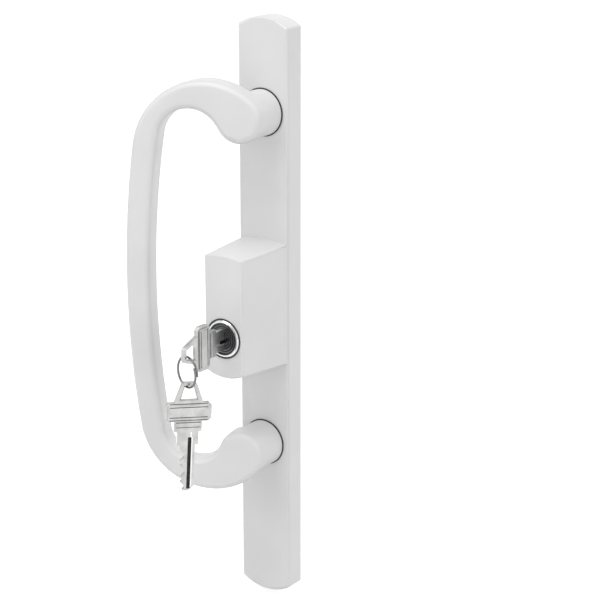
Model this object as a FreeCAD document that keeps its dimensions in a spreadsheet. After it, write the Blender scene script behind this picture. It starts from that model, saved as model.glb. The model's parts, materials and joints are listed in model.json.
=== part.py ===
import FreeCAD, Part
import math
import os
import Sketcher
from FreeCAD import Placement, Rotation, Vector

# Keyed outside handle of a sliding patio door: a hollow cast plate with a lock housing,
# a flared D pull on two round posts, a five pin key cylinder, its key, a wire ring and
# a spare key. Millimetres. +X is to the right, +Y goes into the door and +Z is up. The
# origin lies on the plate's back face, midway between the pull's two posts.

doc = FreeCAD.newDocument("patio_door_handle")
sheet = doc.addObject("Spreadsheet::Sheet", "Sizes")

SIZES = [
    ("plate_width", 28.0, "plate, side to side"),
    ("plate_depth", 10.8, "plate, back to front"),
    ("plate_top", 121.7, "plate's upper corners above the origin"),
    ("plate_low", 156.2, "plate's lower corners below the origin"),
    ("plate_rise", 4.2, "height of the arc at each end of the plate"),
    ("plate_corner", 1.5, "rounding of the plate's four corners"),
    ("plate_edge", 0.9, "bevel of the plate's front edge"),
    ("side_wall", 2.4, "plate's side walls"),
    ("face_wall", 2.6, "plate's front wall"),
    ("boss_spacing", 125.4, "between the two through-bolt bosses"),
    ("boss_radius", 5.0, "through-bolt boss"),
    ("boss_bore", 2.1, "threaded hole of a boss"),
    ("boss_depth", 8.0, "depth of the threaded hole"),
    ("post_beyond", 18.9, "pull's post beyond the nearer boss, clear of its washer"),
    ("post_radius", 10.9, "pull's post"),
    ("post_depth", 14.6, "post, from the plate into the pull's end"),
    ("post_gap", 0.6, "shadow gap between a post and the plate"),
    ("foot_radius", 8.0, "post's foot behind that gap"),
    ("spigot_radius", 5.0, "spigot of a post in the plate"),
    ("spigot_play", 0.1, "gap round the spigot"),
    ("spigot_bore", 2.5, "screw hole in the post"),
    ("spigot_bore_depth", 17.0, "depth of that hole"),
    ("pull_flare", 15.0, "turn of the pull's plane away from the door, degrees"),
    ("pull_stand", 27.4, "pull's middle plane in front of the door at the posts"),
    ("pull_reach", 57.8, "pull, from the posts to the outside of the grip"),
    ("bar_width", 12.0, "grip, across the pull's plane"),
    ("bar_depth", 11.5, "grip, through the pull's plane"),
    ("bar_bevel", 1.9, "first bevel of the grip's edges"),
    ("bar_ease", 0.75, "second bevel, which makes the edges nearly round"),
    ("end_radius", 11.4, "round end of the pull"),
    ("bow_radius", 470.0, "long outer curve of the grip"),
    ("upper_rise", 16.9, "top of the pull above its upper post's middle"),
    ("lower_rise", 20.0, "bottom of the pull below its lower post's middle"),
    ("upper_arch", 3.5, "inside of the upper arm above that middle"),
    ("lower_arch", 5.4, "inside of the lower arm below that middle"),
    ("housing_projection", 32.4, "lock housing in front of the plate"),
    ("housing_width", 27.0, "housing at the plate"),
    ("front_width", 21.4, "housing's width at its front"),
    ("housing_top", 19.6, "housing's upper corners above the origin"),
    ("housing_low", 39.7, "housing's lower corners below the origin"),
    ("top_draft", 0.9, "slope of the housing's top over its projection"),
    ("low_draft", 2.6, "slope of the housing's underside"),
    ("top_rise", 1.2, "arc of the housing's top"),
    ("low_rise", 2.6, "arc of the housing's underside"),
    ("housing_root", 2.0, "housing's root within the plate"),
    ("housing_edge", 0.7, "bevel of the housing's edges"),
    ("housing_wall", 1.8, "housing's side walls"),
    ("housing_face", 2.8, "housing's front wall"),
    ("cylinder_drop", 20.2, "key cylinder's axis below the origin"),
    ("collar_radius", 9.4, "cylinder's front collar"),
    ("collar_proud", 1.0, "collar in front of the housing"),
    ("collar_bevel", 0.9, "bevel of the collar's rim"),
    ("collar_play", 0.05, "gap round the collar"),
    ("shell_radius", 8.0, "cylinder's round body"),
    ("shell_back", 14.4, "cylinder's back end in front of the door"),
    ("tower_width", 9.0, "pin tower, side to side"),
    ("tower_height", 15.0, "pin tower above the axis"),
    ("plug_radius", 6.35, "turning plug"),
    ("plug_play", 0.05, "running gap round the plug"),
    ("plug_sink", 0.3, "plug's face behind the collar's rim"),
    ("flange_radius", 7.7, "plug's front flange"),
    ("flange_depth", 1.5, "flange, front to back"),
    ("flange_play", 0.1, "gap behind the flange"),
    ("cap_radius", 6.9, "cap on the back of the plug"),
    ("cap_depth", 3.6, "cap, front to back"),
    ("cap_gap", 0.08, "gap between the cap and the shell"),
    ("key_thickness", 2.1, "key blade"),
    ("key_low", 3.5, "blade's lower edge below the axis"),
    ("key_high", 3.2, "blade's uncut edge above the axis"),
    ("key_play", 0.12, "gap round the blade in the keyway"),
    ("keyway_depth", 26.0, "keyway, from the plug's face"),
    ("groove_height", 0.9, "middle of the blade's groove below the axis"),
    ("groove_width", 1.7, "blade's groove"),
    ("groove_depth", 0.6, "depth of the groove"),
    ("blade_length", 22.8, "blade, shoulder to tip"),
    ("tip_bevel", 2.5, "bevel of the tip's lower corner"),
    ("tip_drop", 1.6, "blade's tip below the last cut"),
    ("tip_ramp", 0.9, "rise behind the last cut"),
    ("pin_first", 5.6, "first pin behind the key's shoulder"),
    ("pin_pitch", 3.81, "between the pins"),
    ("pin_radius", 1.42, "pin"),
    ("pin_tip", 0.45, "flat tip of a key pin"),
    ("pin_top", 6.15, "top of the key pins above the axis"),
    ("pin_slot", 3.0, "width of the plug's slot for the key pins"),
    ("cut_flat", 1.0, "flat of each cut in the blade"),
    ("cut_one", 1.2, "height of the first cut above the axis"),
    ("cut_two", 2.3, "second cut"),
    ("cut_three", 0.5, "third cut"),
    ("cut_four", 1.8, "fourth cut"),
    ("cut_five", 0.9, "fifth cut"),
    ("collar_low", 5.0, "key's small collar, half height"),
    ("collar_low_length", 6.4, "small collar along the key"),
    ("collar_high", 6.4, "key's large collar, half height"),
    ("collar_high_length", 5.0, "large collar along the key"),
    ("bar_high", 10.8, "bow's bar, half height"),
    ("bar_long", 9.0, "bow's bar along the key"),
    ("bar_corner", 1.4, "bevel of the bar's corners"),
    ("bar_raise", 0.45, "raised rib of the bar above the blade's side"),
    ("rib_inset", 1.1, "rib inside the bar's edges"),
    ("loop_high", 6.8, "bow's loop at the bar, half height"),
    ("loop_end", 3.3, "loop at its end, half height"),
    ("loop_long", 9.8, "loop along the key"),
    ("loop_corner", 1.5, "rounding of the loop's end corners"),
    ("hole_high", 3.9, "loop's hole at the bar, half height"),
    ("hole_end", 2.1, "hole at its far end, half height"),
    ("hole_near", 1.5, "hole's edge from the bar"),
    ("hole_far", 1.8, "hole's edge from the loop's end"),
    ("hole_bevel", 0.45, "bevel of the hole's edges"),
    ("ring_radius", 7.2, "wire ring's circle"),
    ("ring_wire", 0.55, "ring wire's own radius"),
    ("ring_turn", 17.0, "turn of the ring's plane, degrees"),
    ("ring_seat", 2.1, "ring wire above the middle of the loop's leg"),
    ("ring_place", 5.5, "ring's middle from the hole's near edge"),
    ("spare_turn", 40.0, "turn of the spare key's face, degrees"),
    ("spare_lean", 3.0, "lean of the spare key in its own plane, degrees"),
    ("spare_shift", 0.85, "spare key's middle to one side of the ring's wire"),
    ("spare_gap", 0.06, "gap between the spare key and the ring"),
    ("tail_width", 6.4, "tailpiece, side to side"),
    ("tail_thickness", 1.5, "tailpiece"),
    ("tail_reach", 13.0, "tailpiece behind the door's face"),
    ("tail_play", 0.05, "gap round the tailpiece in the cap's slit"),
    ("keeper_width", 19.0, "retainer plate, side to side"),
    ("keeper_thickness", 1.5, "retainer plate"),
    ("keeper_end", 3.6, "retainer plate beyond its screws"),
    ("keeper_window", 14.2, "retainer plate's square window round the cap"),
    ("keeper_high", 20.4, "upper retainer screw above the axis"),
    ("keeper_low", 11.3, "lower retainer screw below the axis"),
    ("keeper_boss", 2.9, "retainer screw's boss"),
    ("keeper_hole", 1.6, "retainer plate's screw holes"),
    ("small_thread", 1.2, "retainer screw's thread"),
    ("small_tap", 1.25, "hole for that thread"),
    ("small_length", 9.0, "retainer screw under its head"),
    ("small_head", 2.6, "retainer screw's head"),
    ("small_head_depth", 1.8, "depth of that head"),
    ("thread", 2.4, "pull screw's thread"),
    ("thread_length", 15.0, "pull screw under its head"),
    ("head", 4.4, "pull screw's head"),
    ("head_depth", 2.6, "depth of that head"),
    ("washer_side", 14.0, "pull screw's square washer"),
    ("washer_bore", 2.7, "washer's hole"),
    ("washer_depth", 1.3, "washer's thickness"),
]

# How far a cut or a joining pad runs past the face it meets
PAST = 0.5
# How closely a place must match when an edge is picked
SLACK = 0.01

for row, (name, value, note) in enumerate(SIZES, 1):
    sheet.set(f"A{row}", note)
    sheet.set(f"B{row}", str(value))
    sheet.setAlias(f"B{row}", name)
doc.recompute()


class Term:
    """A size as the number it has now and as the expression that binds it."""

    def __init__(self, text, value):
        self.text = text
        self.value = value

    def __add__(self, other):
        other = term(other)
        return Term(f"({self.text} + {other.text})", self.value + other.value)

    def __sub__(self, other):
        other = term(other)
        return Term(f"({self.text} - {other.text})", self.value - other.value)

    def __mul__(self, other):
        other = term(other)
        return Term(f"({self.text} * {other.text})", self.value * other.value)

    def __truediv__(self, other):
        other = term(other)
        return Term(f"({self.text} / {other.text})", self.value / other.value)

    def __neg__(self):
        return Term(f"(0 - {self.text})", -self.value)


def term(value):
    if isinstance(value, Term):
        return value
    return Term(str(value), float(value))


def S(name):
    return Term(f"Sizes.{name}", float(sheet.get(name)))


def bind(thing, prop, value):
    thing.setExpression(prop, term(value).text)


# Sketches

def new_body(label):
    body = doc.addObject("PartDesign::Body", f"Body_{label}")
    body.Label = label
    return body


def new_sketch(body, name, plane="XZ_Plane", offset=None):
    sketch = body.newObject("Sketcher::SketchObject", f"{body.Label}_{name}")
    origin = [item for item in body.Origin.OriginFeatures if item.Role == plane]
    sketch.AttachmentSupport = [(origin[0], "")]
    sketch.MapMode = "FlatFace"
    if offset is not None:
        sketch.AttachmentOffset = Placement(Vector(0, 0, term(offset).value), Rotation())
        bind(sketch, "AttachmentOffset.Base.z", offset)
    return sketch


def datum(sketch, parts, value):
    """A measured constraint, bound to its size."""
    index = sketch.addConstraint(Sketcher.Constraint(*parts, value.value))
    sketch.setExpression(f"Constraints[{index}]", value.text)


def pin_point(sketch, geometry, point, x, y):
    """Holds one point of a sketch at two bound coordinates."""
    for kind, axis, value in (("DistanceX", -2, term(x)), ("DistanceY", -1, term(y))):
        if value.value == 0:
            sketch.addConstraint(Sketcher.Constraint("PointOnObject", geometry, point, axis))
        elif value.value > 0:
            datum(sketch, (kind, -1, 1, geometry, point), value)
        else:
            datum(sketch, (kind, geometry, point, -1, 1), -value)


def circle(sketch, x, y, radius):
    centre = Vector(term(x).value, term(y).value, 0)
    number = sketch.addGeometry(Part.Circle(centre, Vector(0, 0, 1), radius.value))
    pin_point(sketch, number, 3, x, y)
    datum(sketch, ("Radius", number), radius)


def polygon(sketch, points):
    """A closed outline of straight lines, every corner bound."""
    points = [(term(x), term(y)) for x, y in points]
    corners = [Vector(x.value, y.value, 0) for x, y in points]
    first = sketch.GeometryCount
    count = len(points)
    for i in range(count):
        sketch.addGeometry(Part.LineSegment(corners[i], corners[(i + 1) % count]))
    for i in range(count):
        follower = first + (i + 1) % count
        sketch.addConstraint(Sketcher.Constraint("Coincident", first + i, 2, follower, 1))
    for i, (x, y) in enumerate(points):
        pin_point(sketch, first + i, 1, x, y)


def rectangle(sketch, left, right, low, high):
    polygon(sketch, [(left, low), (right, low), (right, high), (left, high)])


def arc_radius(width, rise):
    return (width * width / 4 + rise * rise) / (rise * 2)


def barrel(sketch, width, top, low, top_rise, low_rise):
    """Straight sides closed by a shallow arc at each end."""
    half = width / 2
    right = half.value
    high = top.value
    bottom = -low.value
    top_radius = arc_radius(width, top_rise)
    low_radius = arc_radius(width, low_rise)
    sketch.addGeometry(Part.LineSegment(Vector(right, bottom, 0), Vector(right, high, 0)))
    lean = math.asin(right / top_radius.value)
    middle = Vector(0, high + top_rise.value - top_radius.value, 0)
    ring = Part.Circle(middle, Vector(0, 0, 1), top_radius.value)
    sketch.addGeometry(Part.ArcOfCircle(ring, math.pi / 2 - lean, math.pi / 2 + lean))
    sketch.addGeometry(Part.LineSegment(Vector(-right, high, 0), Vector(-right, bottom, 0)))
    lean = math.asin(right / low_radius.value)
    middle = Vector(0, bottom - low_rise.value + low_radius.value, 0)
    ring = Part.Circle(middle, Vector(0, 0, 1), low_radius.value)
    sketch.addGeometry(Part.ArcOfCircle(ring, 1.5 * math.pi - lean, 1.5 * math.pi + lean))
    for i in range(4):
        sketch.addConstraint(Sketcher.Constraint("Coincident", i, 2, (i + 1) % 4, 1))
    sketch.addConstraint(Sketcher.Constraint("Vertical", 0))
    sketch.addConstraint(Sketcher.Constraint("Vertical", 2))
    sketch.addConstraint(Sketcher.Constraint("Horizontal", 0, 2, 2, 1))
    sketch.addConstraint(Sketcher.Constraint("Horizontal", 2, 2, 0, 1))
    pin_point(sketch, 0, 2, half, top)
    pin_point(sketch, 2, 2, -half, -low)
    datum(sketch, ("Radius", 1), top_radius)
    datum(sketch, ("Radius", 3), low_radius)


# Features

def pad(body, sketch, length, both_ways=False):
    feature = body.newObject("PartDesign::Pad", f"{sketch.Name}_pad")
    feature.Profile = sketch
    if both_ways:
        feature.SideType = "Symmetric"
    bind(feature, "Length", length)
    doc.recompute()
    return feature


def pocket(body, sketch, length, along_normal=True, both_ways=False):
    before = body.Shape.Volume
    feature = body.newObject("PartDesign::Pocket", f"{sketch.Name}_cut")
    feature.Profile = sketch
    if both_ways:
        feature.SideType = "Symmetric"
    feature.Reversed = along_normal
    bind(feature, "Length", length)
    doc.recompute()
    if body.Shape.Volume > before - 1e-6:
        raise RuntimeError(f"{feature.Name} cuts nothing")
    return feature


def edges_where(shape, test):
    names = []
    for i, edge in enumerate(shape.Edges, 1):
        if test(edge):
            names.append(f"Edge{i}")
    return names


def dress(body, kind, name, prop, size, test):
    """A rounding or bevel on the edges that pass a test."""
    base = body.Tip
    names = edges_where(base.Shape, test)
    if not names:
        raise RuntimeError(f"no edges for {name}")
    feature = body.newObject(f"PartDesign::{kind}", f"{body.Label}_{name}")
    feature.Base = (base, names)
    bind(feature, prop, size)
    doc.recompute()
    return feature


def across(edge, axis, value):
    """True for an edge that lies in a plane square to one axis."""
    box = edge.BoundBox
    low = (box.XMin, box.YMin, box.ZMin)[axis]
    high = (box.XMax, box.YMax, box.ZMax)[axis]
    return abs(low - value) < SLACK and abs(high - value) < SLACK


def cylinder(name, radius, height, x, y, z, upright=False):
    """A round bar that starts at a point and runs forward, or upward."""
    bar = doc.addObject("Part::Cylinder", name)
    bind(bar, "Radius", radius)
    bind(bar, "Height", height)
    if not upright:
        bar.Placement = Placement(Vector(), Rotation(Vector(1, 0, 0), 90))
    for axis, value in (("x", x), ("y", y), ("z", z)):
        bind(bar, f"Placement.Base.{axis}", value)
    return bar


def block(name, length, width, height, x, y, z):
    """A box given by its sizes along X, Y and Z and by its lowest corner."""
    box = doc.addObject("Part::Box", name)
    bind(box, "Length", length)
    bind(box, "Width", width)
    bind(box, "Height", height)
    for axis, value in (("x", x), ("y", y), ("z", z)):
        bind(box, f"Placement.Base.{axis}", value)
    return box


def joined(name, items):
    whole = doc.addObject("Part::MultiFuse", name)
    whole.Shapes = items
    return whole


def cut(name, base, tool):
    rest = doc.addObject("Part::Cut", name)
    rest.Base = base
    rest.Tool = tool
    return rest


parts = []


def keep(thing, label):
    thing.Label = label
    parts.append(thing)


# Planes in front of the door, as distances from the plate's back face
front_plane = S("plate_depth") + S("housing_projection")
collar_front = front_plane + S("collar_proud")
plug_front = collar_front - S("plug_sink")
axis_z = -S("cylinder_drop")
boss_z = S("boss_spacing") / 2
post_z = boss_z + S("post_beyond")


# The plate and its lock housing: one casting, hollow from the back

escutcheon = new_body("escutcheon")
outline = new_sketch(escutcheon, "outline")
barrel(outline, S("plate_width"), S("plate_top"), S("plate_low"), S("plate_rise"), S("plate_rise"))
pad(escutcheon, outline, S("plate_depth"))
face_y = -S("plate_depth").value


def runs_along(edge, axis):
    """True for a straight edge parallel to one axis."""
    if not isinstance(edge.Curve, Part.Line):
        return False
    return abs(edge.Curve.Direction[axis]) > 0.999


dress(escutcheon, "Fillet", "plate_corner", "Radius", S("plate_corner"), lambda e: runs_along(e, 1))
dress(escutcheon, "Chamfer", "plate_edge", "Size", S("plate_edge"), lambda e: across(e, 1, face_y))

root = new_sketch(escutcheon, "housing_root", offset=S("plate_depth") - S("housing_root"))
barrel(root, S("housing_width"), S("housing_top"), S("housing_low"), S("top_rise"), S("low_rise"))
front = new_sketch(escutcheon, "front", offset=front_plane)
front_top = S("housing_top") - S("top_draft")
front_low = S("housing_low") - S("low_draft")
barrel(front, S("front_width"), front_top, front_low, S("top_rise"), S("low_rise"))
housing = escutcheon.newObject("PartDesign::AdditiveLoft", "escutcheon_housing")
housing.Profile = root
housing.Sections = [front]
housing.Ruled = True
doc.recompute()
front_y = -front_plane.value


def reaches_front(edge):
    """True for the edges of the housing's front and those that run back from it."""
    return abs(edge.BoundBox.YMin - front_y) < SLACK


dress(escutcheon, "Chamfer", "housing_edge", "Size", S("housing_edge"), reaches_front)

hollow = new_sketch(escutcheon, "hollow")
barrel(hollow, S("plate_width") - S("side_wall") * 2, S("plate_top") - S("side_wall"),
       S("plate_low") - S("side_wall"), S("plate_rise"), S("plate_rise"))
pocket(escutcheon, hollow, S("plate_depth") - S("face_wall"))

well = new_sketch(escutcheon, "well", offset=S("plate_depth") - S("face_wall") - PAST)
barrel(well, S("housing_width") - S("housing_wall") * 2, S("housing_top") - S("housing_wall"),
       S("housing_low") - S("housing_wall"), S("top_rise"), S("low_rise"))
well_end = new_sketch(escutcheon, "well_end", offset=front_plane - S("housing_face"))
barrel(well_end, S("front_width") - S("housing_wall") * 2, front_top - S("housing_wall"),
       front_low - S("housing_wall"), S("top_rise"), S("low_rise"))
before = escutcheon.Shape.Volume
recess = escutcheon.newObject("PartDesign::SubtractiveLoft", "escutcheon_recess")
recess.Profile = well
recess.Sections = [well_end]
recess.Ruled = True
doc.recompute()
if escutcheon.Shape.Volume > before - 1e-6:
    raise RuntimeError("the housing isn't hollow")

bosses = new_sketch(escutcheon, "bosses")
circle(bosses, 0, boss_z, S("boss_radius"))
circle(bosses, 0, -boss_z, S("boss_radius"))
pad(escutcheon, bosses, S("plate_depth") - S("face_wall") / 2)
threads = new_sketch(escutcheon, "threads")
circle(threads, 0, boss_z, S("boss_bore"))
circle(threads, 0, -boss_z, S("boss_bore"))
pocket(escutcheon, threads, S("boss_depth"))

high_z = axis_z + S("keeper_high")
low_z = axis_z - S("keeper_low")
pillars = new_sketch(escutcheon, "pillars", offset=S("shell_back"))
circle(pillars, 0, high_z, S("keeper_boss"))
circle(pillars, 0, low_z, S("keeper_boss"))
pad(escutcheon, pillars, front_plane - S("housing_face") / 2 - S("shell_back"))
taps = new_sketch(escutcheon, "taps", offset=S("shell_back"))
circle(taps, 0, high_z, S("small_tap"))
circle(taps, 0, low_z, S("small_tap"))
pocket(escutcheon, taps, S("small_length") + PAST * 2)

mouth = new_sketch(escutcheon, "mouth", offset=front_plane - S("housing_face") - PAST)
circle(mouth, 0, axis_z, S("collar_radius") + S("collar_play"))
pocket(escutcheon, mouth, S("housing_face") + PAST * 2)
seats = new_sketch(escutcheon, "seats")
circle(seats, 0, post_z, S("spigot_radius") + S("spigot_play"))
circle(seats, 0, -post_z, S("spigot_radius") + S("spigot_play"))
pocket(escutcheon, seats, S("plate_depth") + PAST)
keep(escutcheon, "escutcheon")


# The pull: a D in a plane that flares away from the door, with two posts

def pull_outline(sketch):
    """Ends, shoulders, long outer and inner curves and inner corners, all tangent."""
    end = S("end_radius")
    bow = S("bow_radius")
    inner = bow - S("bar_width")
    far = bow - S("pull_reach")
    zp = post_z.value

    def meet(radius_a, radius_b):
        """Middle at given distances from the end's and the long curve's middles."""
        gap = math.hypot(far.value, zp)
        along = (radius_a ** 2 - radius_b ** 2 + gap ** 2) / (2 * gap)
        side = math.sqrt(max(radius_a ** 2 - along ** 2, 0))
        return (along * far.value - side * zp) / gap, zp - (along * zp + side * far.value) / gap

    def corner(apex, least, reach):
        """Middle and radius of a corner that just reaches the apex."""
        small = least
        large = least * 1.7
        for _ in range(60):
            radius = (small + large) / 2
            x, y = meet(*reach(radius))
            if y + radius > apex:
                small = radius
            else:
                large = radius
        return x, y, radius

    def outside(radius):
        return radius - end.value, bow.value - radius

    def inside(radius):
        return radius + end.value, inner.value - radius

    def arc(sign, x, y, radius, start, finish):
        """An arc of the upper half, or its mirror image in the lower half."""
        if sign < 0:
            start, finish = finish, start
        middle = Vector(x, sign * y, 0)
        a = math.atan2(sign * (start[1] - y), start[0] - x)
        b = math.atan2(sign * (finish[1] - y), finish[0] - x)
        if b <= a:
            b += 2 * math.pi
        return sketch.addGeometry(Part.ArcOfCircle(Part.Circle(middle, Vector(0, 0, 1), radius), a, b))

    def beyond(fx, fy, tx, ty, radius):
        gap = math.hypot(tx - fx, ty - fy)
        return tx + (tx - fx) / gap * radius, ty + (ty - fy) / gap * radius

    span = math.hypot(far.value, zp)
    least_outside = (bow.value + end.value - span) / 2
    least_inside = (inner.value - end.value - span) / 2
    halves = []
    for sign, rise, hollow in ((1, S("upper_rise"), S("upper_arch")), (-1, S("lower_rise"), S("lower_arch"))):
        sx, sy, shoulder = corner(zp + rise.value, least_outside, outside)
        ax, ay, arch = corner(zp + hollow.value, least_inside, inside)
        rim = beyond(sx, sy, 0, zp, end.value)
        flank = beyond(far.value, 0, sx, sy, shoulder)
        neck = beyond(0, zp, ax, ay, -arch)
        knee = beyond(far.value, 0, ax, ay, arch)
        halves.append((flank, knee))
        round_end = arc(sign, 0, zp, end.value, neck, rim)
        outer_corner = arc(sign, sx, sy, shoulder, rim, flank)
        inner_corner = arc(sign, ax, ay, arch, neck, knee)
        first, last = (1, 2) if sign > 0 else (2, 1)
        sketch.addConstraint(Sketcher.Constraint("Tangent", round_end, last, outer_corner, first))
        sketch.addConstraint(Sketcher.Constraint("Tangent", round_end, first, inner_corner, first))
        pin_point(sketch, round_end, 3, 0, post_z * sign)
        datum(sketch, ("Radius", round_end), end)
        crowns = ((outer_corner, sx, sy, shoulder, rise), (inner_corner, ax, ay, arch, hollow))
        for curve, x, y, radius, top in crowns:
            apex = sketch.addGeometry(Part.Point(Vector(x, sign * (y + radius), 0)), True)
            sketch.addConstraint(Sketcher.Constraint("PointOnObject", apex, 1, curve))
            sketch.addConstraint(Sketcher.Constraint("Vertical", apex, 1, curve, 3))
            if sign > 0:
                datum(sketch, ("DistanceY", -1, 1, apex, 1), post_z + top)
            else:
                datum(sketch, ("DistanceY", apex, 1, -1, 1), post_z + top)

    (upper_flank, upper_knee), (lower_flank, lower_knee) = halves

    def long_curve(radius, start, finish):
        a = math.atan2(start[1], start[0] - far.value)
        b = 2 * math.pi - math.atan2(finish[1], finish[0] - far.value)
        ring = Part.Circle(Vector(far.value, 0, 0), Vector(0, 0, 1), radius.value)
        return sketch.addGeometry(Part.ArcOfCircle(ring, a, b))

    # each half adds its end, outer corner, inner corner and two construction points
    outer = long_curve(bow, upper_flank, lower_flank)
    inner_curve = long_curve(inner, upper_knee, lower_knee)
    upper, lower = 0, 5
    for a, a_end, b, b_end in (
        (outer, 1, upper + 1, 2),
        (outer, 2, lower + 1, 1),
        (inner_curve, 1, upper + 2, 2),
        (inner_curve, 2, lower + 2, 1),
    ):
        sketch.addConstraint(Sketcher.Constraint("Tangent", a, a_end, b, b_end))
    pin_point(sketch, outer, 3, far, 0)
    sketch.addConstraint(Sketcher.Constraint("Coincident", inner_curve, 3, outer, 3))
    datum(sketch, ("Radius", outer), bow)
    datum(sketch, ("Radius", inner_curve), inner)


pull = new_body("pull")
bow_sketch = new_sketch(pull, "bow", offset=S("pull_stand"))
flare = Rotation(Vector(0, 1, 0), S("pull_flare").value)
bow_sketch.AttachmentOffset = Placement(Vector(0, 0, S("pull_stand").value), flare)
bind(bow_sketch, "AttachmentOffset.Rotation.Angle", S("pull_flare"))
pull_outline(bow_sketch)
pad(pull, bow_sketch, S("bar_depth"), both_ways=True)
dress(pull, "Chamfer", "bevel", "Size", S("bar_bevel"), lambda e: isinstance(e.Curve, Part.Circle))
lean = math.radians(S("pull_flare").value)
pull_normal = Vector(math.sin(lean), -math.cos(lean), 0)


def lies_at(edge, height):
    """True for a round edge at a height above or below the pull's middle plane."""
    if not isinstance(edge.Curve, Part.Circle):
        return False
    above = (edge.Curve.Center + Vector(0, S("pull_stand").value, 0)).dot(pull_normal)
    return abs(abs(above) - height) < SLACK


face_height = S("bar_depth").value / 2
dress(pull, "Chamfer", "ease", "Size", S("bar_ease"), lambda e: lies_at(e, face_height))

posts = new_sketch(pull, "posts", offset=S("plate_depth") + S("post_gap"))
circle(posts, 0, post_z, S("post_radius"))
circle(posts, 0, -post_z, S("post_radius"))
pad(pull, posts, S("post_depth") - S("post_gap"))
feet = new_sketch(pull, "feet", offset=S("plate_depth"))
circle(feet, 0, post_z, S("foot_radius"))
circle(feet, 0, -post_z, S("foot_radius"))
pad(pull, feet, S("post_gap") + PAST)
spigot_end = S("plate_depth") - S("face_wall") + S("spigot_play") / 2
spigots = new_sketch(pull, "spigots", offset=spigot_end)
circle(spigots, 0, post_z, S("spigot_radius"))
circle(spigots, 0, -post_z, S("spigot_radius"))
pad(pull, spigots, S("face_wall") + PAST)
bores = new_sketch(pull, "bores", offset=spigot_end)
circle(bores, 0, post_z, S("spigot_bore"))
circle(bores, 0, -post_z, S("spigot_bore"))
pocket(pull, bores, S("spigot_bore_depth"))
keep(pull, "pull")


# Screws and washers that hold the pull from behind

def hex_screw(label, z, under, shank, length, head, depth):
    """Screw with a six sided head behind the plane it clamps."""
    top = doc.addObject("Part::Prism", f"{label}_head")
    top.Polygon = 6
    top.Placement = Placement(Vector(), Rotation(Vector(1, 0, 0), 90))
    bind(top, "Circumradius", head)
    bind(top, "Height", depth)
    bind(top, "Placement.Base.y", depth - under)
    bind(top, "Placement.Base.z", z)
    stem = cylinder(f"{label}_stem", shank, length, 0, -under, z)
    keep(joined(f"{label}_whole", [top, stem]), label)


inner_face = S("plate_depth") - S("face_wall")
for side, z in (("upper", post_z), ("lower", -post_z)):
    wide = S("washer_side")
    square = block(f"{side}_square", wide, S("washer_depth"), wide, -wide / 2, -inner_face, z - wide / 2)
    start = S("washer_depth") + PAST - inner_face
    bore = cylinder(f"{side}_bore", S("washer_bore"), S("washer_depth") + PAST * 2, 0, start, z)
    keep(cut(f"{side}_washer", square, bore), f"{side}_pull_washer")
    clamp = inner_face - S("washer_depth")
    hex_screw(f"{side}_pull_screw", z, clamp, S("thread"), S("thread_length"), S("head"), S("head_depth"))


# Key cylinder's fixed shell: collar, round body and pin tower

pin_y = [S("pin_first") + S("pin_pitch") * i - plug_front for i in range(5)]
shell_front = front_plane - S("housing_face")

shell = new_body("cylinder_shell")
bind(shell, "Placement.Base.z", axis_z)
collar = new_sketch(shell, "collar", offset=shell_front)
circle(collar, 0, 0, S("collar_radius"))
pad(shell, collar, S("housing_face") + S("collar_proud"))
rim_y = -collar_front.value
dress(shell, "Chamfer", "bevel", "Size", S("collar_bevel"), lambda e: across(e, 1, rim_y))
barrel_sketch = new_sketch(shell, "barrel", offset=S("shell_back"))
circle(barrel_sketch, 0, 0, S("shell_radius"))
pad(shell, barrel_sketch, shell_front - S("shell_back") + PAST)
tower = new_sketch(shell, "tower", offset=S("shell_back"))
half = S("tower_width") / 2
rectangle(tower, -half, half, 0, S("tower_height"))
pad(shell, tower, shell_front - S("shell_back"))
bore = new_sketch(shell, "bore", offset=S("shell_back") - PAST)
circle(bore, 0, 0, S("plug_radius") + S("plug_play"))
pocket(shell, bore, collar_front - S("shell_back") + PAST * 2)
seat = new_sketch(shell, "seat", offset=plug_front - S("flange_depth") - S("flange_play"))
circle(seat, 0, 0, S("flange_radius") + S("plug_play"))
pocket(shell, seat, S("flange_depth") + S("flange_play") + S("plug_sink") + PAST)
keep(shell, "cylinder_shell")


# Turning plug, its cap and the tailpiece

plug = new_body("cylinder_plug")
bind(plug, "Placement.Base.z", axis_z)
core = new_sketch(plug, "core", offset=S("shell_back"))
circle(core, 0, 0, S("plug_radius"))
pad(plug, core, plug_front - S("shell_back"))
flange = new_sketch(plug, "flange", offset=plug_front - S("flange_depth"))
circle(flange, 0, 0, S("flange_radius"))
pad(plug, flange, S("flange_depth"))

keyway = new_sketch(plug, "keyway", offset=plug_front - S("keyway_depth"))
side = S("key_thickness") / 2 + S("key_play")
ward = side - S("groove_depth")
foot = -S("key_low") - S("key_play")
roof = S("key_high") + S("key_play")
ward_low = -S("groove_height") - S("groove_width") / 2 + S("key_play")
ward_high = -S("groove_height") + S("groove_width") / 2 - S("key_play")
polygon(keyway, [
    (-side, foot), (side, foot), (side, ward_low), (ward, ward_low), (ward, ward_high), (side, ward_high),
    (side, roof), (-side, roof), (-side, ward_high), (-ward, ward_high), (-ward, ward_low), (-side, ward_low),
])
pocket(plug, keyway, S("keyway_depth") + PAST)
row = new_sketch(plug, "row", plane="XY_Plane")
half = S("pin_slot") / 2
rectangle(row, -half, half, pin_y[0] - half, pin_y[4] + half)
pocket(plug, row, S("plug_radius") + PAST)
keep(plug, "cylinder_plug")

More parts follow.
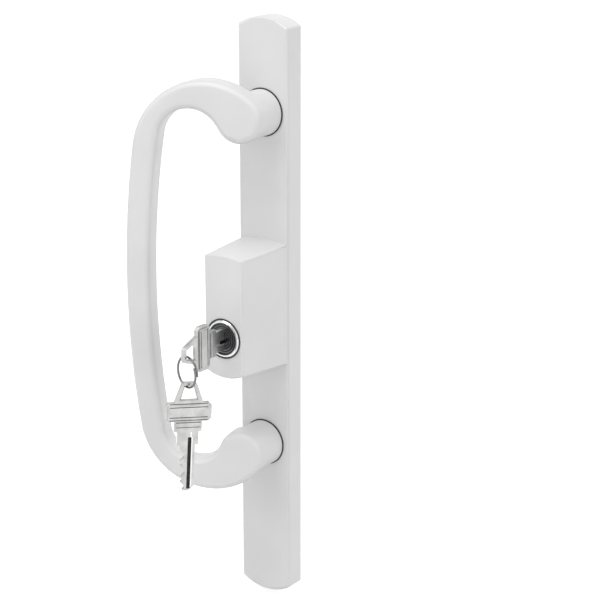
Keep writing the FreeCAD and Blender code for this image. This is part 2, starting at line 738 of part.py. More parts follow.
cap_front = S("shell_back") - S("cap_gap")
disc = cylinder("cap_disc", S("cap_radius"), S("cap_depth"), 0, S("cap_depth") - cap_front, axis_z)
slit_width = S("tail_width") + S("tail_play") * 2
slit_height = S("tail_thickness") + S("tail_play") * 2
slit = block("cap_slit", slit_width, S("cap_depth") + PAST * 2, slit_height,
             -slit_width / 2, -cap_front - PAST, axis_z - slit_height / 2)
keep(cut("cap", disc, slit), "plug_cap")

tail_start = -S("shell_back") + S("tail_play")
tail = block("tail", S("tail_width"), S("tail_reach") - tail_start, S("tail_thickness"),
             -S("tail_width") / 2, tail_start, axis_z - S("tail_thickness") / 2)
keep(tail, "tailpiece")


# Key pins, which turn with the plug

cuts = [S("cut_one"), S("cut_two"), S("cut_three"), S("cut_four"), S("cut_five")]
for i in range(5):
    number = i + 1
    y = pin_y[i]
    cone = doc.addObject("Part::Cone", f"pin_tip_{number}")
    bind(cone, "Radius1", S("pin_tip"))
    bind(cone, "Radius2", S("pin_radius"))
    bind(cone, "Height", S("pin_radius") - S("pin_tip"))
    for axis, value in (("y", y), ("z", axis_z + cuts[i])):
        bind(cone, f"Placement.Base.{axis}", value)
    shoulder_z = cuts[i] + S("pin_radius") - S("pin_tip")
    stem = cylinder(f"pin_stem_{number}", S("pin_radius"), S("pin_top") - shoulder_z, 0, y,
                    axis_z + shoulder_z, upright=True)
    keep(joined(f"pin_{number}", [cone, stem]), f"key_pin_{number}")


# Plate that holds the cylinder in from behind, with its two screws

half = S("keeper_width") / 2
keeper_low = low_z - S("keeper_end")
keeper_high = high_z + S("keeper_end")
sheet_metal = block("keeper_sheet", S("keeper_width"), S("keeper_thickness"), keeper_high - keeper_low,
                    -half, -S("shell_back"), keeper_low)
start = S("keeper_thickness") - S("shell_back") + PAST
deep = S("keeper_thickness") + PAST * 2
window = S("keeper_window")
holes = [
    block("keeper_mouth", window, deep, window, -window / 2, start - deep, axis_z - window / 2),
    cylinder("keeper_hole_a", S("keeper_hole"), deep, 0, start, high_z),
    cylinder("keeper_hole_b", S("keeper_hole"), deep, 0, start, low_z),
]
keep(cut("keeper", sheet_metal, joined("keeper_holes", holes)), "retainer_plate")
clamp = S("shell_back") - S("keeper_thickness")
for name, z in (("upper", high_z), ("lower", low_z)):
    hex_screw(f"{name}_retainer_screw", z, clamp, S("small_thread"), S("small_length"),
              S("small_head"), S("small_head_depth"))


# Keys: flat bow with a loop, a raised rib and two collars, and a cut and grooved blade

bar_near = S("collar_low_length") + S("collar_high_length")
bar_far = bar_near + S("bar_long")
loop_far = bar_far + S("loop_long")
hole_start = bar_far + S("hole_near")
hole_finish = loop_far - S("hole_far")


def key_profile():
    """Corners of the key's side, along it from the shoulder and up from the axis."""
    flat = S("cut_flat") / 2
    length = S("blade_length")
    low = -S("key_low")
    spots = [S("pin_first") + S("pin_pitch") * i for i in range(5)]
    points = [
        (term(0), low), (length - S("tip_bevel"), low), (length, low + S("tip_bevel")),
        (length, cuts[4] - S("tip_drop")), (spots[4] + flat + S("tip_ramp"), cuts[4] + S("tip_ramp")),
    ]
    for i in (4, 3, 2, 1, 0):
        points.append((spots[i] + flat, cuts[i]))
        points.append((spots[i] - flat, cuts[i]))
        if i > 0:
            along = (spots[i - 1] + spots[i] + cuts[i] - cuts[i - 1]) / 2
            height = (cuts[i - 1] + cuts[i] + S("pin_pitch") - flat * 2) / 2
            points.append((along, height))
    points.append((spots[0] - flat - S("key_high") + cuts[0], S("key_high")))
    points.append((term(0), S("key_high")))
    near = S("collar_low_length")
    corner = S("bar_corner")
    upper = [
        (term(0), S("collar_low")), (-near, S("collar_low")), (-near, S("collar_high")),
        (-bar_near, S("collar_high")), (-bar_near, S("bar_high") - corner),
        (-bar_near - corner, S("bar_high")), (corner - bar_far, S("bar_high")),
        (-bar_far, S("bar_high") - corner), (-bar_far, S("loop_high")), (-loop_far, S("loop_end")),
    ]
    return points + upper + [(y, -z) for y, z in reversed(upper)]


def key(label, hang):
    """A key along its own axis, or hung by its loop with the blade down."""
    body = new_body(label)
    drop = S("ring_wire") + S("spare_gap") - hole_finish

    def turn(points):
        if not hang:
            return points
        return [(S("spare_shift") - z, drop - y) for y, z in points]

    side = new_sketch(body, "side", plane="YZ_Plane")
    polygon(side, turn(key_profile()))
    pad(body, side, S("key_thickness"), both_ways=True)

    def loop_corner(edge):
        if len(edge.Vertexes) != 2 or abs(edge.tangentAt(edge.FirstParameter).x) < 0.99:
            return False
        point = edge.Vertexes[0].Point
        spots = turn([(-loop_far, S("loop_end")), (-loop_far, -S("loop_end"))])
        return any(abs(point.y - y.value) + abs(point.z - z.value) < SLACK for y, z in spots)

    dress(body, "Fillet", "loop_corner", "Radius", S("loop_corner"), loop_corner)
    rib = new_sketch(body, "rib", plane="YZ_Plane")
    near = bar_near + S("rib_inset")
    far = bar_far - S("rib_inset")
    high = S("bar_high") - S("rib_inset")
    polygon(rib, turn([(-far, -high), (-near, -high), (-near, high), (-far, high)]))
    pad(body, rib, S("key_thickness") + S("bar_raise") * 2, both_ways=True)

    hole = new_sketch(body, "hole", plane="YZ_Plane")
    corners = [(-hole_finish, -S("hole_end")), (-hole_start, -S("hole_high")),
               (-hole_start, S("hole_high")), (-hole_finish, S("hole_end"))]
    polygon(hole, turn(corners))
    pocket(body, hole, S("key_thickness") + PAST * 2, both_ways=True)
    spots = turn(corners)
    box = FreeCAD.BoundBox()
    for y, z in spots:
        box.add(Vector(0, y.value, z.value))
    box.enlarge(SLACK)

    def hole_edge(edge):
        middle = edge.BoundBox.Center
        flat = across(edge, 0, S("key_thickness").value / 2) or across(edge, 0, -S("key_thickness").value / 2)
        return flat and box.isInside(Vector(0, middle.y, middle.z))

    dress(body, "Chamfer", "hole_edge", "Size", S("hole_bevel"), hole_edge)

    low = -S("groove_height") - S("groove_width") / 2
    high = -S("groove_height") + S("groove_width") / 2
    end = S("blade_length") + PAST
    corners = turn([(term(0), low), (end, low), (end, high), (term(0), high)])
    level = S("key_thickness") / 2 - S("groove_depth")
    groove = new_sketch(body, "groove_a", plane="YZ_Plane", offset=level)
    polygon(groove, corners)
    pocket(body, groove, S("groove_depth") + PAST)
    groove = new_sketch(body, "groove_b", plane="YZ_Plane", offset=-level)
    polygon(groove, corners)
    pocket(body, groove, S("groove_depth") + PAST, along_normal=False)
    return body


lock_key = key("key", False)
bind(lock_key, "Placement.Base.y", -plug_front)
bind(lock_key, "Placement.Base.z", axis_z)
keep(lock_key, "key")


# Wire ring through the loop, and the spare key that hangs from it

from_near = S("hole_near") + S("ring_place")
leg_outer = S("loop_high") - from_near * (S("loop_high") - S("loop_end")) / S("loop_long")
leg_inner = S("hole_high") - S("ring_place") * (S("hole_high") - S("hole_end")) / (hole_finish - hole_start)
leg_z = axis_z - (leg_outer + leg_inner) / 2
ring_y = -plug_front - bar_far - from_near
ring_z = leg_z + S("ring_seat") - S("ring_radius")

ring = new_body("key_ring")
ring.Placement = Placement(Vector(), Rotation(Vector(0, 0, -1), S("ring_turn").value))
bind(ring, "Placement.Rotation.Angle", S("ring_turn"))
bind(ring, "Placement.Base.y", ring_y)
bind(ring, "Placement.Base.z", ring_z)
section = new_sketch(ring, "section", plane="XY_Plane")
corners = [math.radians(30 + 60 * i) for i in range(6)]
polygon(section, [
    (S("ring_radius") + S("ring_wire") * math.cos(a), S("ring_wire") * math.sin(a)) for a in corners
])
hoop = ring.newObject("PartDesign::Revolution", "key_ring_hoop")
hoop.Profile = section
hoop.ReferenceAxis = (section, ["V_Axis"])
hoop.Angle = 360
doc.recompute()
keep(ring, "key_ring")

spare = key("spare_key", True)
spare.Placement = Placement(Vector(), Rotation(-S("spare_turn").value, 0, -S("spare_lean").value))
bind(spare, "Placement.Rotation.Yaw", -S("spare_turn"))
bind(spare, "Placement.Rotation.Roll", -S("spare_lean"))
bind(spare, "Placement.Base.y", ring_y)
bind(spare, "Placement.Base.z", ring_z - S("ring_radius"))
keep(spare, "spare_key")


# Everything is recomputed and checked before any file is written

doc.recompute()
for thing in doc.Objects:
    if "Invalid" in thing.State or "Error" in thing.State:
        raise RuntimeError(f"{thing.Label} failed: {thing.State}")
for thing in parts:
    shape = thing.Shape
    if shape.isNull() or not shape.isValid() or len(shape.Solids) != 1:
        raise RuntimeError(f"{thing.Label} isn't one valid solid")

os.makedirs("parts", exist_ok=True)
for thing in parts:
    thing.Shape.exportStep(f"parts/{thing.Label}.step")
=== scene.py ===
import json
import math

import bmesh
import bpy
from mathutils import Matrix, Vector


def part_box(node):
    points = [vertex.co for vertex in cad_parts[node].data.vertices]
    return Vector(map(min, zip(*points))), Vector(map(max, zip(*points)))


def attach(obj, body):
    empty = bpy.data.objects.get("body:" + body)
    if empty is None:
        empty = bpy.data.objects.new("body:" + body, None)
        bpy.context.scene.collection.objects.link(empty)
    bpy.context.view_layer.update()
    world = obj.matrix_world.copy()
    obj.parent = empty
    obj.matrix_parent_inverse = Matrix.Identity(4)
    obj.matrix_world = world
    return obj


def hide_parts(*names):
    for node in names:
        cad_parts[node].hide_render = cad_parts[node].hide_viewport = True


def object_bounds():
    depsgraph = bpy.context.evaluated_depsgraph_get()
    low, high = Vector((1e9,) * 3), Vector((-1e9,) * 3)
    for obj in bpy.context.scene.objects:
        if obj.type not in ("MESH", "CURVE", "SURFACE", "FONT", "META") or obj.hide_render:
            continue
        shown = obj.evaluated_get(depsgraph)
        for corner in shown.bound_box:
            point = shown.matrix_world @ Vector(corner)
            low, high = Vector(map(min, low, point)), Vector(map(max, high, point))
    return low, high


# Keyed outside handle of a sliding patio door, in metres in the part's own frame:
# +X to the right, +Y into the door, +Z up, the plate's back face at Y = 0.
MM = 0.001

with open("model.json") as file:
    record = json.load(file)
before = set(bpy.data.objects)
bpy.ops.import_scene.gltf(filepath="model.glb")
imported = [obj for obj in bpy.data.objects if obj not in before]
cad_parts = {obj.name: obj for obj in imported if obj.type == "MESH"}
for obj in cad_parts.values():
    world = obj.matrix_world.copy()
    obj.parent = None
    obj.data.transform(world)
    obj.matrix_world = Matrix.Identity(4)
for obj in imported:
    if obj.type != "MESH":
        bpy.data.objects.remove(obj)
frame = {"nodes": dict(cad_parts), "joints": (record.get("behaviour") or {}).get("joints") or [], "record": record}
nodes = frame["nodes"]
joints = {joint["name"]: joint for joint in frame["joints"]}
cad_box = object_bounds()

# Places that the frame gives: the key's shoulder on the cylinder's axis, the wire that the
# spare key hangs from, and the middle of the wire ring.
key_shoulder = Vector(joints["key_turn"]["pos_m"])
spare_hook = Vector(joints["spare_key_swing"]["pos_m"])
ring_low, ring_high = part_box("key_ring")
ring_middle = (Vector(ring_low) + Vector(ring_high)) / 2
washer_low, washer_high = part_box("upper_pull_washer")
post_z = (washer_low[2] + washer_high[2]) / 2

# Sizes of the solids that the added pieces sit on, in millimetres and degrees
COLLAR_RADIUS = 9.4
COLLAR_PROUD = 1.0
HOUSING_FRONT = 43.2
PLATE_FRONT = 10.8
POST_RADIUS = 10.9
POST_GAP = 0.6
PLUG_RADIUS = 7.4
RING_RADIUS = 7.2
RING_WIRE = 0.54
RING_TURN = 17.0
KEY_THICKNESS = 2.1
BOW_NEAR = 11.4
BOW_FAR = 20.4
BOW_RIB = 0.45
BOW_HALF = 10.8
COLLAR_NEAR = 6.4
COLLAR_HALF = 6.4
SMALL_COLLAR_HALF = 5.0
GROOVE_MIDDLE = -0.9
GROOVE_WIDTH = 1.7
GROOVE_FLOOR = 0.45
GROOVE_END = 21.9
SPARE_TURN = 40.0
SPARE_LEAN = 3.0
SPARE_SHIFT = 0.85
SPARE_DROP = -27.79

# Edges: the angle past which a solid's edge stays sharp, in degrees, and how near two points of a
# solid or of an added piece are when they become one, in millimetres
CASTING_SPLIT = 60
METAL_SPLIT = 28
SOLID_WELD = 0.01
PIECE_WELD = 0.001

# Seals and bead, which stand in for shade as thin dark lines, and wire ring, in millimetres and degrees
SEAL_INSET = 0.1
SEAL_LIFT = 0.25
SEAL_HALF_WIDE = 0.42
SEAL_HALF_DEEP = 0.36
POST_SEAL_OUTSET = 0.02
POST_SEAL_HALF_WIDE = 0.55
BEAD_OUTSET = 0.22
BEAD_HALF_WIDE = 0.3
BEAD_HALF_DEEP = 0.06
HOOP_SIDES = 12
HOOP_STEPS = 96
RING_LAP = 34
RING_LAP_TURN = -30
RING_SIDES = 14
RING_STEPS = 110

# Detail on the keys, in millimetres: raised panel and band, dark lines of painted shade, groove with a floor of
# painted shade, and bright lip of painted highlight
PANEL_INSET = 2.4
PANEL_PROUD = 0.1
BOW_MARGIN = 1.8
BAND_START = 0.9
BAND_FINISH = 2.6
BAND_SUNK = 0.1
BAND_PROUD = 0.3
COLLAR_MARGIN = 0.5
RELIEF_EASE = 0.1
BORDER_LINE = (0.3, 0.75)
PANEL_LINE = (1.85, 2.3)
COLLAR_LINES = ((0.35, 0.75), (2.75, 3.1))
LINE_PROUD = 0.03
LINE_EASE = 0.01
FLOOR_PROUD = 0.05
FLOOR_START = 0.02
GROOVE_PLAY = 0.03
GROOVE_RUN_OUT = 3.6
LIP_HALF = 0.25
LIP_DROP = 0.3
LIP_SHORT = 1.0
NECK_LIP_START = 0.2
NECK_LIP_DROP = 0.6
EDGE_MARGIN = 0.1
EDGE_SHORT = 0.2

# Turning lines on the plug's face, in millimetres from one to the next
TURNING_PITCH = 1.2

# Studio, in metres and watts: brightness of the room and floor, and each soft box's place, side and power
ROOM_LIGHT = 0.62
ROOM_SEEN = 1.0
FLOOR_HALF = 6
FLOOR_DROP = 0.004
FLOOR_GLOW = 0.56
SOFT_BOXES = (
    ("overhead_soft_box", (-0.2, -0.4, 1.2), 0.9, 6.4),
    ("front_soft_box", (-0.15, -0.75, 0.75), 1.0, 1.2),
    ("left_soft_box", (-1.1, -1.0, 0.5), 0.8, 1.6),
    ("right_soft_box", (1.3, -0.6, 0.5), 0.8, 4.6),
    ("back_soft_box", (0.3, 1.3, 0.6), 0.8, 2.5),
)

# Camera, in millimetres: above and to the right of the handle's front, without roll or shift
CAMERA_PLACE = (518.03, -736.69, 263.09)
CAMERA_AIM = (20.295, -9.825, -6.294)
CAMERA_LENS = 117.18
CAMERA_SENSOR = 36.0


def linear(hex_colour):
    """A colour written as sRGB hex, as the linear values that a shader takes."""
    channels = [int(hex_colour[i:i + 2], 16) / 255 for i in (1, 3, 5)]
    return [c / 12.92 if c <= 0.04045 else ((c + 0.055) / 1.055) ** 2.4 for c in channels] + [1.0]


def add_node(tree, kind, settings=None, links=None):
    """One shader node with its settings, its socket values and what feeds it."""
    node = tree.nodes.new(kind)
    for name, value in (settings or {}).items():
        if name in node.inputs:
            node.inputs[name].default_value = value
        else:
            setattr(node, name, value)
    for name, source in (links or {}).items():
        tree.links.new(source, node.inputs[name])
    return node


def surface(name, colour, roughness, metallic=0.0):
    """A material with one plain shader, and the shader itself for what is added to it."""
    material = bpy.data.materials.new(name)
    material.use_nodes = True
    shader = material.node_tree.nodes["Principled BSDF"]
    shader.inputs["Base Color"].default_value = linear(colour)
    shader.inputs["Roughness"].default_value = roughness
    shader.inputs["Metallic"].default_value = metallic
    return material, shader


def noise_field(tree, size_mm, stretch=(1, 1, 1)):
    """Noise whose cells have a real size in the part's own coordinates."""
    place = add_node(tree, "ShaderNodeTexCoord")
    scaled = add_node(tree, "ShaderNodeMapping", {"Scale": stretch}, {"Vector": place.outputs["Object"]})
    settings = {"Scale": 1 / (size_mm * MM), "Detail": 2.0, "Roughness": 0.5}
    return add_node(tree, "ShaderNodeTexNoise", settings, {"Vector": scaled.outputs["Vector"]})


def relief(tree, shader, height, depth_mm, strength):
    """Bump of a real depth from a height field."""
    settings = {"Strength": strength, "Distance": depth_mm * MM}
    bump = add_node(tree, "ShaderNodeBump", settings, {"Height": height})
    tree.links.new(bump.outputs["Normal"], shader.inputs["Normal"])


def blend_colours(tree, shader, field, low, high):
    """Base colour that drifts between two near tones along a field."""
    ramp = add_node(tree, "ShaderNodeValToRGB", None, {"Fac": field})
    ramp.color_ramp.elements[0].position = 0.35
    ramp.color_ramp.elements[0].color = linear(low)
    ramp.color_ramp.elements[1].position = 0.65
    ramp.color_ramp.elements[1].color = linear(high)
    tree.links.new(ramp.outputs["Color"], shader.inputs["Base Color"])


def vary_roughness(tree, shader, field, low, high):
    """Roughness that drifts between two values along a field."""
    limits = {"To Min": low, "To Max": high}
    drift = add_node(tree, "ShaderNodeMapRange", limits, {"Value": field})
    tree.links.new(drift.outputs["Result"], shader.inputs["Roughness"])


# White polyester powder coat, baked on a zinc casting: satin, with a faint orange peel whose
# waves are drawn twice as wide as the real 1 mm ones so that they show.
white_coat, shader = surface("white_powder_coat", "#DEDEDE", 0.42)
tree = white_coat.node_tree
drift = noise_field(tree, 30.0).outputs["Fac"]
blend_colours(tree, shader, drift, "#DCDCDC", "#E0E0E0")
vary_roughness(tree, shader, drift, 0.38, 0.46)
relief(tree, shader, noise_field(tree, 2.0).outputs["Fac"], 0.02, 0.35)

# Bright chrome plate on a turned collar, polished: a mirror with a few faint wipe marks.
chrome, shader = surface("polished_chrome_plate", "#D4D5D7", 0.1, 1.0)
tree = chrome.node_tree
vary_roughness(tree, shader, noise_field(tree, 3.0).outputs["Fac"], 0.06, 0.16)

# Dark chrome plate on the plug's turned face: smoky, with lighter and darker turning lines that
# are drawn many times coarser than the real ones so that they show.
dark_plate, shader = surface("dark_chrome_plate", "#404041", 0.28, 1.0)
tree = dark_plate.node_tree
place = add_node(tree, "ShaderNodeTexCoord")
centred = add_node(tree, "ShaderNodeMapping", {"Location": -key_shoulder},
                   {"Vector": place.outputs["Object"]})
wave = {
    "wave_type": "RINGS",
    "rings_direction": "Y",
    "Scale": math.pi / (10 * TURNING_PITCH * MM),
    "Distortion": 2.0,
    "Detail": 1.0,
}
rings = add_node(tree, "ShaderNodeTexWave", wave, {"Vector": centred.outputs["Vector"]})
relief(tree, shader, rings.outputs["Fac"], 0.02, 0.8)
blend_colours(tree, shader, rings.outputs["Fac"], "#303031", "#58585A")
vary_roughness(tree, shader, noise_field(tree, 1.5).outputs["Fac"], 0.2, 0.36)

# Nickel plate on stamped nickel silver: soft grey, with draw marks 0.4 mm wide along the blank.
nickel, shader = surface("nickel_plated_key", "#B8B8B7", 0.34, 1.0)
tree = nickel.node_tree
marks = noise_field(tree, 0.4, (1, 1, 0.1)).outputs["Fac"]
relief(tree, shader, marks, 0.008, 0.4)
blend_colours(tree, shader, noise_field(tree, 4.0).outputs["Fac"], "#AFAFAE", "#C1C1C0")
vary_roughness(tree, shader, marks, 0.28, 0.42)

# The same nickel, darkened as painted shade for the fine lines of the stamping.
painted_shade_line, shader = surface("painted_shade_stamping_line", "#626261", 0.45, 1.0)
tree = painted_shade_line.node_tree
blend_colours(tree, shader, noise_field(tree, 1.0).outputs["Fac"], "#565655", "#6E6E6D")

# The same nickel as a painted highlight, bright on the groove's lip and on the small collar's edges: nearly white,
# and satin up close.
highlight_nickel, shader = surface("painted_highlight_lip", "#E6E6E5", 0.45, 1.0)
tree = highlight_nickel.node_tree
vary_roughness(tree, shader, noise_field(tree, 1.0).outputs["Fac"], 0.4, 0.5)

# The same nickel again, darkened as painted shade on the groove's floor.
groove_shade_nickel, shader = surface("painted_shade_groove_floor", "#2B2B2B", 0.4, 1.0)
tree = groove_shade_nickel.node_tree
blend_colours(tree, shader, noise_field(tree, 1.0).outputs["Fac"], "#242424", "#3A3A3A")

# Drawn steel wire, nickel plated: grey gloss with dull spots.
wire, shader = surface("nickel_plated_wire", "#77777A", 0.25, 1.0)
tree = wire.node_tree
vary_roughness(tree, shader, noise_field(tree, 1.0).outputs["Fac"], 0.18, 0.34)

# Bare turned brass, a little tarnished.
brass, shader = surface("turned_brass", "#C9A961", 0.32, 1.0)
tree = brass.node_tree
blend_colours(tree, shader, noise_field(tree, 1.5).outputs["Fac"], "#B99750", "#CFB06A")

# Bright zinc plate on pressed steel, with the mottle of the bath.
zinc, shader = surface("zinc_plated_steel", "#B2B5B9", 0.38, 1.0)
tree = zinc.node_tree
mottle = noise_field(tree, 2.5).outputs["Fac"]
blend_colours(tree, shader, mottle, "#ADB0B4", "#B7BABE")
vary_roughness(tree, shader, mottle, 0.34, 0.42)

# Black rubber, moulded: dull. It is used for the seals, which stand in as dark painted shade in the gaps.
shade_rubber, shader = surface("painted_shade_rubber", "#1E1E1F", 0.6)
tree = shade_rubber.node_tree
relief(tree, shader, noise_field(tree, 0.3).outputs["Fac"], 0.01, 0.3)

finish_of_slot = {
    "white_coat": white_coat,
    "chrome": chrome,
    "plug_brass": dark_plate,
    "brass": brass,
    "zinc_steel": zinc,
    "key_nickel": nickel,
    "ring_steel": wire,
}
for entry in frame["record"]["subparts"]:
    piece = nodes[entry["node"]]
    piece.data.materials.clear()
    piece.data.materials.append(finish_of_slot[entry["material_slot"]])


# Edges of the solids

def smooth_faces(piece):
    """Smooth shading on every face of a piece."""
    for face in piece.data.polygons:
        face.use_smooth = True


def keep_edges(piece, split_degrees):
    """Smooth shading over a solid's facets, with its real edges kept sharp."""
    smooth_faces(piece)
    weld = piece.modifiers.new("weld", "WELD")
    weld.merge_threshold = SOLID_WELD * MM
    split = piece.modifiers.new("edges", "EDGE_SPLIT")
    split.split_angle = math.radians(split_degrees)


def ease_edges(piece, split_degrees):
    """Bevels shaded as roundings, with the sharper edges kept."""
    keep_edges(piece, split_degrees)
    normals = piece.modifiers.new("normals", "WEIGHTED_NORMAL")
    normals.keep_sharp = True


for name, piece in nodes.items():
    if name in ("pull", "escutcheon"):
        ease_edges(piece, CASTING_SPLIT)
    else:
        keep_edges(piece, METAL_SPLIT)


# Pieces that the solids don't have

def add_piece(name, shape, material, body):
    """A mesh object from a bmesh, dressed and fixed to a body."""
    bmesh.ops.remove_doubles(shape, verts=shape.verts, dist=PIECE_WELD * MM)
    bmesh.ops.recalc_face_normals(shape, faces=shape.faces)
    mesh = bpy.data.meshes.new(name)
    shape.to_mesh(mesh)
    shape.free()
    piece = bpy.data.objects.new(name, mesh)
    bpy.context.collection.objects.link(piece)
    mesh.materials.append(material)
    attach(piece, body)
    return piece


def add_bar(shape, low, high, edge_mm):
    """A bar with eased edges between two corners, in millimetres."""
    low = Vector(low) * MM
    high = Vector(high) * MM
    made = bmesh.ops.create_cube(shape, size=1)["verts"]
    bmesh.ops.scale(shape, verts=made, vec=high - low)
    bmesh.ops.translate(shape, verts=made, vec=(low + high) / 2)
    edges = {edge for vert in made for edge in vert.link_edges}
    bmesh.ops.bevel(shape, geom=list(edges), offset=edge_mm * MM, affect="EDGES", segments=2,
                    profile=0.5, material=-1)


def add_hoop(name, radius_mm, half_wide, half_deep, middle, material):
    """A hoop of oval section on the handle, in a plane that faces the door."""
    shape = bmesh.new()
    section = bmesh.ops.create_circle(shape, segments=HOOP_SIDES, radius=MM)["verts"]
    bmesh.ops.scale(shape, verts=section, vec=(half_wide, half_deep, 1))
    bmesh.ops.translate(shape, verts=section, vec=(radius_mm * MM, 0, 0))
    bmesh.ops.spin(shape, geom=shape.verts[:] + shape.edges[:], cent=(0, 0, 0), axis=(0, 1, 0),
                   angle=2 * math.pi, steps=HOOP_STEPS, use_merge=True)
    bmesh.ops.translate(shape, verts=shape.verts, vec=middle)
    smooth_faces(add_piece(name, shape, material, "handle"))


# Seals that show as thin dark lines of painted shade in the gaps: round the collar's foot, and under the pull's
# posts
add_hoop("collar_seal_shade", COLLAR_RADIUS - SEAL_INSET, SEAL_HALF_WIDE, SEAL_HALF_DEEP,
         (0, -(HOUSING_FRONT + SEAL_LIFT) * MM, key_shoulder.z), shade_rubber)
for name, z in (("upper_post_seal_shade", post_z), ("lower_post_seal_shade", -post_z)):
    add_hoop(name, POST_RADIUS + POST_SEAL_OUTSET, POST_SEAL_HALF_WIDE, POST_GAP / 2,
             (0, -(PLATE_FRONT + POST_GAP / 2) * MM, z), shade_rubber)

# Dark bead of painted shade where the collar's rim meets the plug's face
add_hoop("collar_shade_bead", PLUG_RADIUS + BEAD_OUTSET, BEAD_HALF_WIDE, BEAD_HALF_DEEP,
         (0, -(HOUSING_FRONT + COLLAR_PROUD) * MM, key_shoulder.z), dark_plate)

# Wire ring: drawn wire whose two ends lie side by side on the ring's right
coil = bmesh.new()
section = bmesh.ops.create_circle(coil, segments=RING_SIDES, radius=RING_WIRE * MM)["verts"]
bmesh.ops.translate(coil, verts=section, vec=(RING_RADIUS * MM, -RING_WIRE * MM, 0))
first_end = coil.faces.new(section)
bmesh.ops.spin(coil, geom=[first_end], cent=(0, 0, 0), axis=(0, 1, 0),
               dvec=(0, 2 * RING_WIRE * MM / RING_STEPS, 0),
               angle=2 * math.pi + math.radians(RING_LAP), steps=RING_STEPS)
turned = Matrix.Rotation(math.radians(-RING_TURN), 3, "Z")
ends_right = Matrix.Rotation(math.radians(RING_LAP_TURN), 3, "Y")
bmesh.ops.rotate(coil, verts=coil.verts, cent=(0, 0, 0), matrix=turned @ ends_right)
bmesh.ops.translate(coil, verts=coil.verts, vec=ring_middle)
wire_ring = add_piece("wire_ring", coil, wire, "ring")
for face in wire_ring.data.polygons:
    face.use_smooth = len(face.vertices) == 4
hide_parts("key_ring")

# Where the two keys are, from a key's own axes: thickness, along it from the shoulder, and up
in_lock = Matrix.Translation(key_shoulder)
turned_down = Matrix((
    (1, 0, 0, 0),
    (0, 0, -1, SPARE_SHIFT * MM),
    (0, -1, 0, SPARE_DROP * MM),
    (0, 0, 0, 1),
))
hanging = (Matrix.Translation(spare_hook) @ Matrix.Rotation(math.radians(-SPARE_TURN), 4, "Z")
           @ Matrix.Rotation(math.radians(-SPARE_LEAN), 4, "X") @ turned_down)


def add_bars(shape, bars, edge_mm):
    """Bars on both faces of a key: inner and outer level, start, finish, half height and middle."""
    for inner, outer, start, finish, half, middle in bars:
        for side in (-1, 1):
            low = min(inner * side, outer * side)
            high = max(inner * side, outer * side)
            add_bar(shape, (low, start, middle - half), (high, finish, middle + half), edge_mm)


key_face = KEY_THICKNESS / 2
rib = key_face + BOW_RIB
over_face = key_face + LINE_PROUD
bow_half = BOW_HALF - BOW_MARGIN
collar_half = COLLAR_HALF - COLLAR_MARGIN

# Raised panel on the bow's rib, and raised band across the large collar
raised = (
    (key_face, rib + PANEL_PROUD, -BOW_FAR + PANEL_INSET, -BOW_NEAR - PANEL_INSET, bow_half, 0),
    (key_face - BAND_SUNK, key_face + BAND_PROUD, -BOW_NEAR + BAND_START, -BOW_NEAR + BAND_FINISH,
     collar_half, 0),
)

# Dark lines of painted shade at both ends of the bow's border and of its rib, and on both sides of the band
lines = []
for level, (near, far) in ((key_face, BORDER_LINE), (rib, PANEL_LINE)):
    lines.append((level, level + LINE_PROUD, -BOW_NEAR - far, -BOW_NEAR - near, bow_half, 0))
    lines.append((level, level + LINE_PROUD, -BOW_FAR + near, -BOW_FAR + far, bow_half, 0))
for near, far in COLLAR_LINES:
    lines.append((key_face, over_face, -BOW_NEAR + near, -BOW_NEAR + far, collar_half, 0))

# Milled groove: a floor of painted shade that runs out over the small collar
groove_half = GROOVE_WIDTH / 2 - GROOVE_PLAY
groove = (
    (GROOVE_FLOOR, GROOVE_FLOOR + FLOOR_PROUD, FLOOR_START, GROOVE_END, groove_half, GROOVE_MIDDLE),
    (key_face, over_face, -GROOVE_RUN_OUT, 0, groove_half, GROOVE_MIDDLE),
)

# Painted highlights in bright nickel: the small collar's upper and lower edges, and the lip below the groove
edge_half = LINE_PROUD / 2
edge_middle = SMALL_COLLAR_HALF + edge_half
edge_near = -COLLAR_NEAR + EDGE_MARGIN
lip_middle = GROOVE_MIDDLE - GROOVE_WIDTH / 2 - LIP_DROP
neck_middle = GROOVE_MIDDLE - NECK_LIP_DROP
lip = (
    (0, key_face - EDGE_MARGIN, edge_near, -EDGE_SHORT, edge_half, edge_middle),
    (0, key_face - EDGE_MARGIN, edge_near, -EDGE_SHORT, edge_half, -edge_middle),
    (key_face, over_face, -GROOVE_RUN_OUT, GROOVE_END - LIP_SHORT, LIP_HALF, lip_middle),
    (key_face, over_face, -COLLAR_NEAR + NECK_LIP_START, -GROOVE_RUN_OUT, LIP_HALF, neck_middle),
)

# The lines and the groove's floor are painted shade, and the lip is a painted highlight.
details = (
    ("relief", raised, RELIEF_EASE, nickel),
    ("lines", lines, LINE_EASE, painted_shade_line),
    ("groove", groove, LINE_EASE, groove_shade_nickel),
    ("lip", lip, LINE_EASE, highlight_nickel),
)
for name, place, body in (("key", in_lock, "plug"), ("spare_key", hanging, "spare")):
    for detail, bars, edge_mm, material in details:
        shape = bmesh.new()
        add_bars(shape, bars, edge_mm)
        bmesh.ops.transform(shape, matrix=place, verts=shape.verts)
        add_piece(f"{name}_{detail}", shape, material, body)


# Studio: a plain bright room, a pale floor and soft lamps

def either(tree, first, second):
    """A test that is true where one of two ray tests is."""
    larger = add_node(tree, "ShaderNodeMath", {"operation": "MAXIMUM"})
    tree.links.new(first, larger.inputs[0])
    tree.links.new(second, larger.inputs[1])
    return larger.outputs["Value"]


def choose(tree, test, otherwise, when_true):
    """One of two shaders, by a ray test."""
    mix = add_node(tree, "ShaderNodeMixShader", None, {"Fac": test})
    tree.links.new(otherwise, mix.inputs[1])
    tree.links.new(when_true, mix.inputs[2])
    return mix.outputs["Shader"]


def face_towards(thing, aim):
    """Turn a lamp or camera so that it looks at a point."""
    thing.rotation_euler = (aim - thing.location).to_track_quat("-Z", "Y").to_euler()


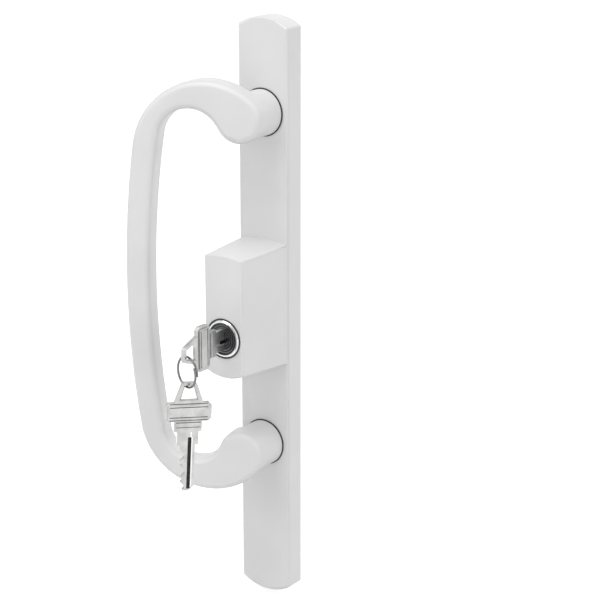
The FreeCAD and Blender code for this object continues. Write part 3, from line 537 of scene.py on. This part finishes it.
# Room: white where it is seen or mirrored, and dimmer as a light
world = bpy.data.worlds.new("studio_room")
bpy.context.scene.world = world
world.use_nodes = True
tree = world.node_tree
tree.nodes.clear()
path = add_node(tree, "ShaderNodeLightPath")
room = add_node(tree, "ShaderNodeBackground", {"Color": linear("#FFFFFF"), "Strength": ROOM_LIGHT})
white = add_node(tree, "ShaderNodeBackground", {"Color": linear("#FFFFFF"), "Strength": ROOM_SEEN})
direct = either(tree, path.outputs["Is Camera Ray"], path.outputs["Is Transmission Ray"])
seen = either(tree, direct, path.outputs["Is Glossy Ray"])
chosen = choose(tree, seen, room.outputs["Background"], white.outputs["Background"])
add_node(tree, "ShaderNodeOutputWorld", None, {"Surface": chosen})

# Floor: pale paper that glows where it is seen or mirrored, so that it ends up white
floor_mesh = bpy.data.meshes.new("floor")
shape = bmesh.new()
bmesh.ops.create_grid(shape, x_segments=1, y_segments=1, size=FLOOR_HALF)
shape.to_mesh(floor_mesh)
shape.free()
floor = bpy.data.objects.new("floor", floor_mesh)
bpy.context.collection.objects.link(floor)
floor.location.z = cad_box[0].z - FLOOR_DROP

paper, paper_shader = surface("white_paper", "#DCDCDC", 0.9)
floor_mesh.materials.append(paper)
tree = paper.node_tree
path = add_node(tree, "ShaderNodeLightPath")
glow = add_node(tree, "ShaderNodeEmission", {"Color": linear("#FFFFFF"), "Strength": FLOOR_GLOW})
dark = add_node(tree, "ShaderNodeEmission", {"Color": linear("#000000"), "Strength": 0.0})
seen = either(tree, path.outputs["Is Camera Ray"], path.outputs["Is Glossy Ray"])
chosen = choose(tree, seen, dark.outputs["Emission"], glow.outputs["Emission"])
both = add_node(tree, "ShaderNodeAddShader")
tree.links.new(paper_shader.outputs["BSDF"], both.inputs[0])
tree.links.new(chosen, both.inputs[1])
tree.links.new(both.outputs["Shader"], tree.nodes["Material Output"].inputs["Surface"])

# Lamps: square soft boxes that face the part's origin
for name, place, side, power in SOFT_BOXES:
    lamp = bpy.data.lights.new(name, "AREA")
    lamp.size = side
    lamp.energy = power
    light = bpy.data.objects.new(name, lamp)
    bpy.context.collection.objects.link(light)
    light.location = place
    face_towards(light, Vector((0, 0, 0)))

camera_data = bpy.data.cameras.new("camera")
camera_data.sensor_width = CAMERA_SENSOR
camera_data.lens = CAMERA_LENS
camera_data.clip_start = 0.01
camera_data.clip_end = 50.0
camera = bpy.data.objects.new("camera", camera_data)
bpy.context.collection.objects.link(camera)
camera.location = Vector(CAMERA_PLACE) * MM
face_towards(camera, Vector(CAMERA_AIM) * MM)
bpy.context.scene.camera = camera

bpy.context.scene.view_settings.view_transform = "Standard"
